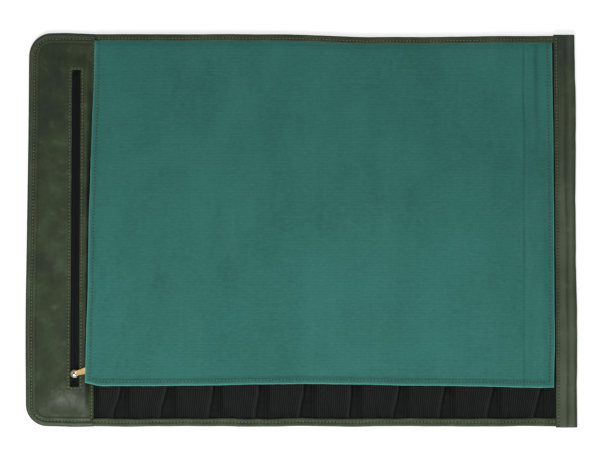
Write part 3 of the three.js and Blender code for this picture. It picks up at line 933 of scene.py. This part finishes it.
def make_flap(roots):
    """The canvas flap, one piece for each cell; roots, the pieces of the seam it hangs from, are not used
    here.
    """
    hem_marks = np.array([0, 0.4, 1.1, 2.4, 3.6, 4.2, 4.8, 5.1, 5.5]) * MM
    length = FLAP_ROOT_Y - FLAP_LOW[1]
    vs = np.concatenate([hem_marks / length, np.linspace(8 * MM / length, 1 - 9 * MM / length, 66),
                         1 - np.array([6, 4, 2.5, 1, 0]) * MM / length])
    for j in range(len(FOLDS)):
        left, right = MIDS[j], min(MIDS[j + 1], FLAP_RIGHT)
        if j == 0:
            us = np.concatenate([hem_marks / (right - FLAP_LEFT_LOW), np.linspace(0.3, 1, 9)])
        else:
            creases = CREASE_X + np.array([-2, -1, 0, 1, 2, 3.4, 5, 10, 11.5, 12.5, 13.5, 15]) * MM
            marks = np.concatenate([creases, FLAP_RIGHT - hem_marks])
            us = between(left, right, 2.4 * MM, marks)
        u, v = np.meshgrid(us, vs)
        y = FLAP_LOW[1] + length * v
        if j == 0:
            x = flap_left_x(y) + (right - flap_left_x(y)) * u
        else:
            x = u + (flap_right_x(y) - FLAP_RIGHT) * ease((u - FLAP_RIGHT + 12 * MM) / (6 * MM))
        y = flap_edge_y(x) + (flap_root_y(x) - flap_edge_y(x)) * v
        wear_and_painted_light = np.concatenate([flap_painted_light(x, y).ravel()] * 2)
        sheet = sheet_points(x, y, flap_z(x, y), FLAP_T)
        obj = piece(f"flap_canvas_{j}", *sheet, M["canvas"], "canvas", 60, wear_and_painted_light=wear_and_painted_light)
        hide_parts(f"flap_strip_{j}")
        if j == len(FOLDS) - 1:
            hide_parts("flap_strip_11")
        bend(obj)


def make_flap_root():
    """The rolled seam that the flap hangs from, inside the top hem: one piece for each cell."""
    roots = []
    for j in range(len(FOLDS)):
        left, right = cell_span(j, PANEL_RIGHT + 0.5 * MM, FLAP_RIGHT)
        rows = []
        for x in between(left, right, 3 * MM):
            ring = np.radians(np.arange(0, 360, 36))
            rows.append([(x, flap_root_y(x) + 0.95 * MM * math.cos(a), 2.5 * MM + 0.65 * MM * math.sin(a))
                         for a in ring])
        obj = piece(f"flap_root_{j}", *swept(np.array(rows)), M["canvas"], "canvas")
        bend(obj)
        roots.append(obj)
    return roots


# ---------------------------------------------------------------- zip
TAPE_TOP = 6.7
TAPE_PAST = 1.2 * MM


def make_zip():
    """Each half of the zip: tape that runs on under the leather, with its ridge of coil at the middle."""
    for side, name in ((-1, "left"), (1, "right")):
        ys = between(SLOT_LOW_Y - TAPE_PAST, SLOT_HIGH_Y + TAPE_PAST, 1.2 * MM)
        rows = []
        for y in ys:
            tooth = 0.06 * MM * math.sin(2 * math.pi * y / (1.2 * MM) * 0.5)
            section = [(0.10, 6.2), (0.10, 7.55), (0.35, 7.9), (0.8, 7.95), (1.1, 7.6), (1.2, 6.95),
                       (2.6, TAPE_TOP), (3.9, 6.5), (6.0, 6.15), (6.15, 5.8), (4.0, 6.15)]
            shown = float(ease((min(y - SLOT_LOW_Y, SLOT_HIGH_Y - y) + 0.5 * MM) / (1.5 * MM)))
            heights = [h if h < TAPE_TOP else TAPE_TOP + (h - TAPE_TOP) * shown for _, h in section]
            rows.append([(ZIP_X + side * a * MM, y, h * MM + tooth * shown)
                         for (a, _), h in zip(section, heights)])
        stack = np.array(rows) if side > 0 else np.array(rows)[:, ::-1]
        obj = piece(f"zip_half_{name}_cloth", *swept(stack), M["tape"], "zip_tape", 60)
        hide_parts(f"zip_tape_{name}", f"zip_coil_{name}")
        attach(obj, f"zip_half_{name}")
    for end in ("top", "bottom"):
        node = frame["nodes"][f"zip_{end}_stop"]
        node.data.materials.clear()
        node.data.materials.append(M["black_metal"])


def dome(outline, centre, z0, z1, edge, steps=6):
    """A pressed metal cap: an outline that rises from z0 and rounds over to a gentle crown at z1."""
    outline = np.array(outline, float)
    rows = [np.column_stack([outline, np.full(len(outline), z0)])]
    for t in np.linspace(0, 1, steps):
        a = t * math.pi / 2
        inset = edge * (1 - math.cos(a))
        pulled = centre + (outline - centre) * (1 - inset / np.abs(outline - centre).max())
        height = z0 + (z1 - z0) * (0.35 + 0.6 * math.sin(a))
        rows.append(np.column_stack([pulled, np.full(len(outline), height)]))
    for t in (0.7, 0.35):
        rows.append(np.column_stack([centre + (rows[-1][:, :2] - centre) * t, np.full(len(outline), z1)]))
    return swept(np.array(rows))


def make_slider():
    """A round domed cap over the zip, its base under the coils, and the pin that holds the puller."""
    centre = np.array([ZIP_X, SLIDER_Y])
    a = np.radians(np.arange(0, 360, 10))
    circle = np.column_stack([np.cos(a), np.sin(a)])
    profile = [(3.1, 8.1), (3.45, 8.3), (3.5, 8.6), (3.42, 8.85), (3.2, 9.0), (2.95, 8.98), (2.85, 9.05),
               (2.6, 9.5), (2.2, 9.9), (1.7, 10.25), (1.1, 10.5), (0.5, 10.6)]
    rows = [np.column_stack([centre + r * MM * circle, np.full(len(a), z * MM)]) for r, z in profile]
    cap = swept(np.array(rows))
    oval = circle * ((SLIDER_HIGH - SLIDER_LOW)[:2] / 2 * 0.97)
    base = dome(centre + oval, centre, 5.3 * MM, 5.95 * MM, 0.4 * MM, 3)
    post_at = centre + (0, 1.5 * MM)
    post = dome(post_at + circle * (0.45 * MM, 1.6 * MM), post_at, 5.8 * MM, 8.4 * MM, 0.1 * MM, 2)
    obj = piece("slider_body", *joined([cap, base, post]), M["steel"], "slider_metal", 35)
    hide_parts("zip_slider")
    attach(obj, "slider")


PULLER_TILT = math.radians(16)
PULLER_L = 13.0 * MM


def make_puller():
    """A flat brass tab with a raised border, round its rivet at one end and wider at the other."""
    z0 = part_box("zip_puller")[0][2]
    c, s = math.cos(PULLER_TILT), math.sin(PULLER_TILT)
    turn = np.array([[c, s], [-s, c]])
    a = np.radians(np.linspace(100, 260, 14))
    outline = [(1.2 + 2.0 * math.cos(t), 2.0 * math.sin(t)) for t in a]
    outline += [(4.0, -2.2), (9.5, -2.8), (11.6, -2.8)]
    for side, first, last in ((-1, -80, 0), (1, 0, 80)):
        corner = np.radians(np.linspace(first, last, 5))
        outline += [(11.6 + 1.4 * math.cos(t), side * 1.4 + 1.4 * math.sin(t)) for t in corner]
    outline += [(11.6, 2.8), (9.5, 2.8), (4.0, 2.2)]
    flat = np.array(outline) * MM
    flat[:, 0] = np.minimum(flat[:, 0], PULLER_L)
    middle = np.array([6.2 * MM, 0.0])
    rows = []
    for share, z in ((1.0, 0.0), (1.0, 0.34), (0.96, 0.55), (0.84, 0.58), (0.80, 0.44), (0.3, 0.42)):
        ring = middle + (flat - middle) * share
        rows.append(np.column_stack([ring @ turn + (ZIP_X, SLIDER_Y), np.full(len(ring), z0 + z * MM)]))
    obj = piece("puller_tab", *swept(np.array(rows)), M["brass"], "puller_brass", 35)
    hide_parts("zip_puller")
    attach(obj, "puller")


# ---------------------------------------------------------------- seams
def sew(name, rows, thread, slot, rides=None, size=1.0):
    """Sews rows of stitches, as pieces of thread and of needle-hole beads painted as shade, for each cell
    or for one body.
    """
    threads, holes = [], []
    for row in rows:
        a, b = stitches(row, size=size)
        threads += a
        holes += b
    for kind, parts, material in (("stitches", threads, thread), ("holes", holes, "hole")):
        if rides:
            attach(piece(f"{name}_{kind}", *joined(parts), M[material], slot, 80), rides)
            continue
        for j, cell in enumerate(by_cell(parts)):
            if cell:
                bend(piece(f"{name}_{kind}_{j}", *joined(cell), M[material], slot, 80))


def laid(points, height):
    """A path of plan points laid just above a surface."""
    x, y = np.array(points, float).T
    return np.column_stack([x, y, height(x, y) + STITCH_LIFT])


def make_stitching():
    """Every row of stitches: hems, flap, zip panel, binding and pocket seams."""
    x = between(PANEL_RIGHT + 1.5 * MM, BINDING_LOW[0] - 0.5 * MM, 1.5 * MM)
    rows = [[(a, hem_seam_y(a, side), hem_top_z(a, side) - 0.2 * MM) for a in x] for side in (1, -1)]
    sew("hem", rows, "olive_thread", "leather")

    low, high = FLAP_LOW[1] + FLAP_SEAM + MM, FLAP_ROOT_Y - MM
    x = between(float(flap_left_x(low)) + FLAP_SEAM, FLAP_RIGHT - FLAP_SEAM, 1.5 * MM)
    y = between(low, high, 1.5 * MM)
    plans = [np.column_stack([x, flap_edge_y(x) + FLAP_SEAM]),
             np.column_stack([flap_left_x(y) + FLAP_SEAM, y]),
             np.column_stack([flap_right_x(y) - FLAP_SEAM, y])]
    sew("flap", [laid(plan, flap_z) for plan in plans], "grey_thread", "canvas")

    left, end = 260, 70
    ring = panel_ring(SEAM, 0, (left, end, 1, end))
    ring = np.concatenate([ring[left + end + 1:], ring[:left + end]])
    edge = [(PANEL_RIGHT - EDGE_SEAM, y) for y in between(BOTTOM + 7 * MM, TOP - 7 * MM, 2 * MM)]
    gap = slot_ring(SLOT_SEAM, (120, 8, 120, 8))
    rows = []
    for plan in (ring, edge, gap):
        path = laid(plan, panel_z)
        path[:, 0], path[:, 1] = bowed(path[:, 0], path[:, 1])
        rows.append(path)
    sew("zip_panel", rows, "olive_thread", "leather", rides="zip_end")

    y = between(BINDING_LOW[1] + 1.5 * MM, BINDING_HIGH[1] - 1.5 * MM, 3 * MM)
    row = [(BINDING_LOW[0] + BINDING_SEAM, b, BINDING_HIGH[2] - 0.2 * MM) for b in y]
    sew("binding", [row], "olive_thread", "leather", rides="free_end")

    y = between(BOTTOM + 8 * MM, MOUTH_Y, 3 * MM)
    rows = [[(fold, b, POCKET_FLOOR + 0.12 * MM) for b in y] for fold in FOLDS[1:]]
    sew("pocket", rows, "black_thread", "pocket_cloth", size=0.9)


# ---------------------------------------------------------------- set
def area_light(name, place, aim, size, power):
    light = bpy.data.lights.new(name, "AREA")
    light.shape = "RECTANGLE"
    light.size, light.size_y = size
    light.energy = power
    obj = bpy.data.objects.new(name, light)
    bpy.context.scene.collection.objects.link(obj)
    obj.location = place
    direction = np.array(aim, float) - np.array(place, float)
    obj.rotation_euler = Vector(direction).to_track_quat("-Z", "Y").to_euler()


def make_set():
    """A white floor, a world that is bright near the horizon, and two soft lights."""
    size, below = 6.0, -0.5 * MM
    points = [(a * size, b * size, below) for a, b in ((-1, -1), (1, -1), (1, 1), (-1, 1))]
    mesh = bpy.data.meshes.new("floor")
    mesh.from_pydata(points, [], [(0, 1, 2, 3)])
    mesh.materials.append(floor_material())
    floor = bpy.data.objects.new("floor", mesh)
    bpy.context.scene.collection.objects.link(floor)

    world = bpy.data.worlds.new("studio")
    bpy.context.scene.world = world
    world.use_nodes = True
    tree = world.node_tree
    place = tree.nodes.new("ShaderNodeTexCoord")
    split = tree.nodes.new("ShaderNodeSeparateXYZ")
    fall = tree.nodes.new("ShaderNodeMapRange")
    for key, value in (("From Min", 0.03), ("From Max", 0.42), ("To Min", 1.0), ("To Max", 0.22)):
        fall.inputs[key].default_value = value
    tree.links.new(place.outputs["Generated"], split.inputs[0])
    tree.links.new(split.outputs["Z"], fall.inputs["Value"])
    tree.links.new(fall.outputs[0], tree.nodes["Background"].inputs["Strength"])
    tree.nodes["Background"].inputs["Color"].default_value = (1, 1, 1, 1)
    area_light("key", (-0.22, -0.90, 0.72), (0.02, 0, 0), (0.9, 0.5), 13)
    area_light("fill", (0.8, 0.5, 1.5), (0, 0, 0), (1.2, 1.2), 6.5)


CAMERA_ELEVATION = 87.1
CAMERA_DISTANCE = 1.6
CAMERA_LENS = 107.4
CAMERA_AIM = (-0.0018, 0.0018, 0.004)


def make_camera():
    """A camera almost straight above the case."""
    data = bpy.data.cameras.new("camera")
    data.lens = CAMERA_LENS
    data.sensor_width = 36
    obj = bpy.data.objects.new("camera", data)
    bpy.context.scene.collection.objects.link(obj)
    tilt = math.radians(CAMERA_ELEVATION)
    aim = np.array(CAMERA_AIM)
    obj.location = aim + CAMERA_DISTANCE * np.array([0, -math.cos(tilt), math.sin(tilt)])
    obj.rotation_euler = (math.pi / 2 - tilt, 0, 0)
    bpy.context.scene.camera = obj
    bpy.context.scene.view_settings.view_transform = "Standard"


make_camera()
make_set()
make_back()
make_zip_panel()
make_binding()
make_lining()
make_pockets()
make_flap(make_flap_root())
make_zip()
make_slider()
make_puller()
make_stitching()
